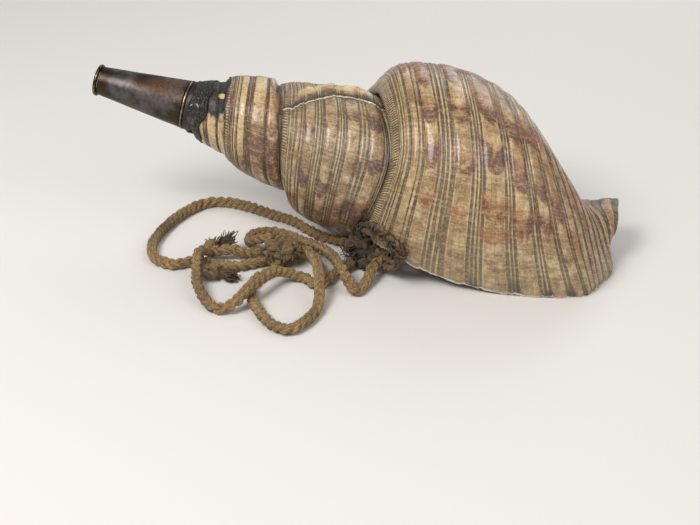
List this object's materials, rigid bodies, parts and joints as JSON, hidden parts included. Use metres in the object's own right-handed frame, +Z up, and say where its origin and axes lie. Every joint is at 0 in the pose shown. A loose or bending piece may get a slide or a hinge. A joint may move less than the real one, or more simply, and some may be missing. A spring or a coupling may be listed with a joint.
{
  "type": "conch shell trumpet",
  "caption": "Large spiral sea shell made into a blown horn, with a tapered brass mouthpiece set in black pitch and a braided cord tied at its mouth.",
  "frame": {"origin": "on the surface that the horn lies on, below the middle of the horn without its cord", "axes": "+X along the horn from the mouthpiece to the siphonal end, +Y away from the side that the cord lies on, +Z up"},
  "size_m": [0.3949, 0.2254, 0.1369],
  "materials": {
    "shell": "satin natural shell",
    "aged_brass": "aged, dark",
    "worn_brass": "worn bright",
    "grey_metal": "dull",
    "black_pitch": "hard black resin",
    "hemp": "coarse braided hemp",
    "dark_hemp": "dark frayed hemp"
  },
  "bodies": {
    "root": {"shell": "shell", "mouthpiece_rim": "worn_brass", "mouthpiece_cone": "aged_brass", "mouthpiece_cup": "aged_brass", "seam_ring": "worn_brass", "ferrule_skirt": "grey_metal", "pitch_seal": "black_pitch", "hitch": "dark_hemp", "center_knot": "hemp", "rear_cord": "hemp", "front_cord": "hemp", "slack_cord": "hemp", "loop_cord": "hemp", "rear_end_knot": "hemp", "front_end_knot": "hemp", "rear_tuft": "dark_hemp", "front_tuft": "dark_hemp"}
  },
  "joints": []
}
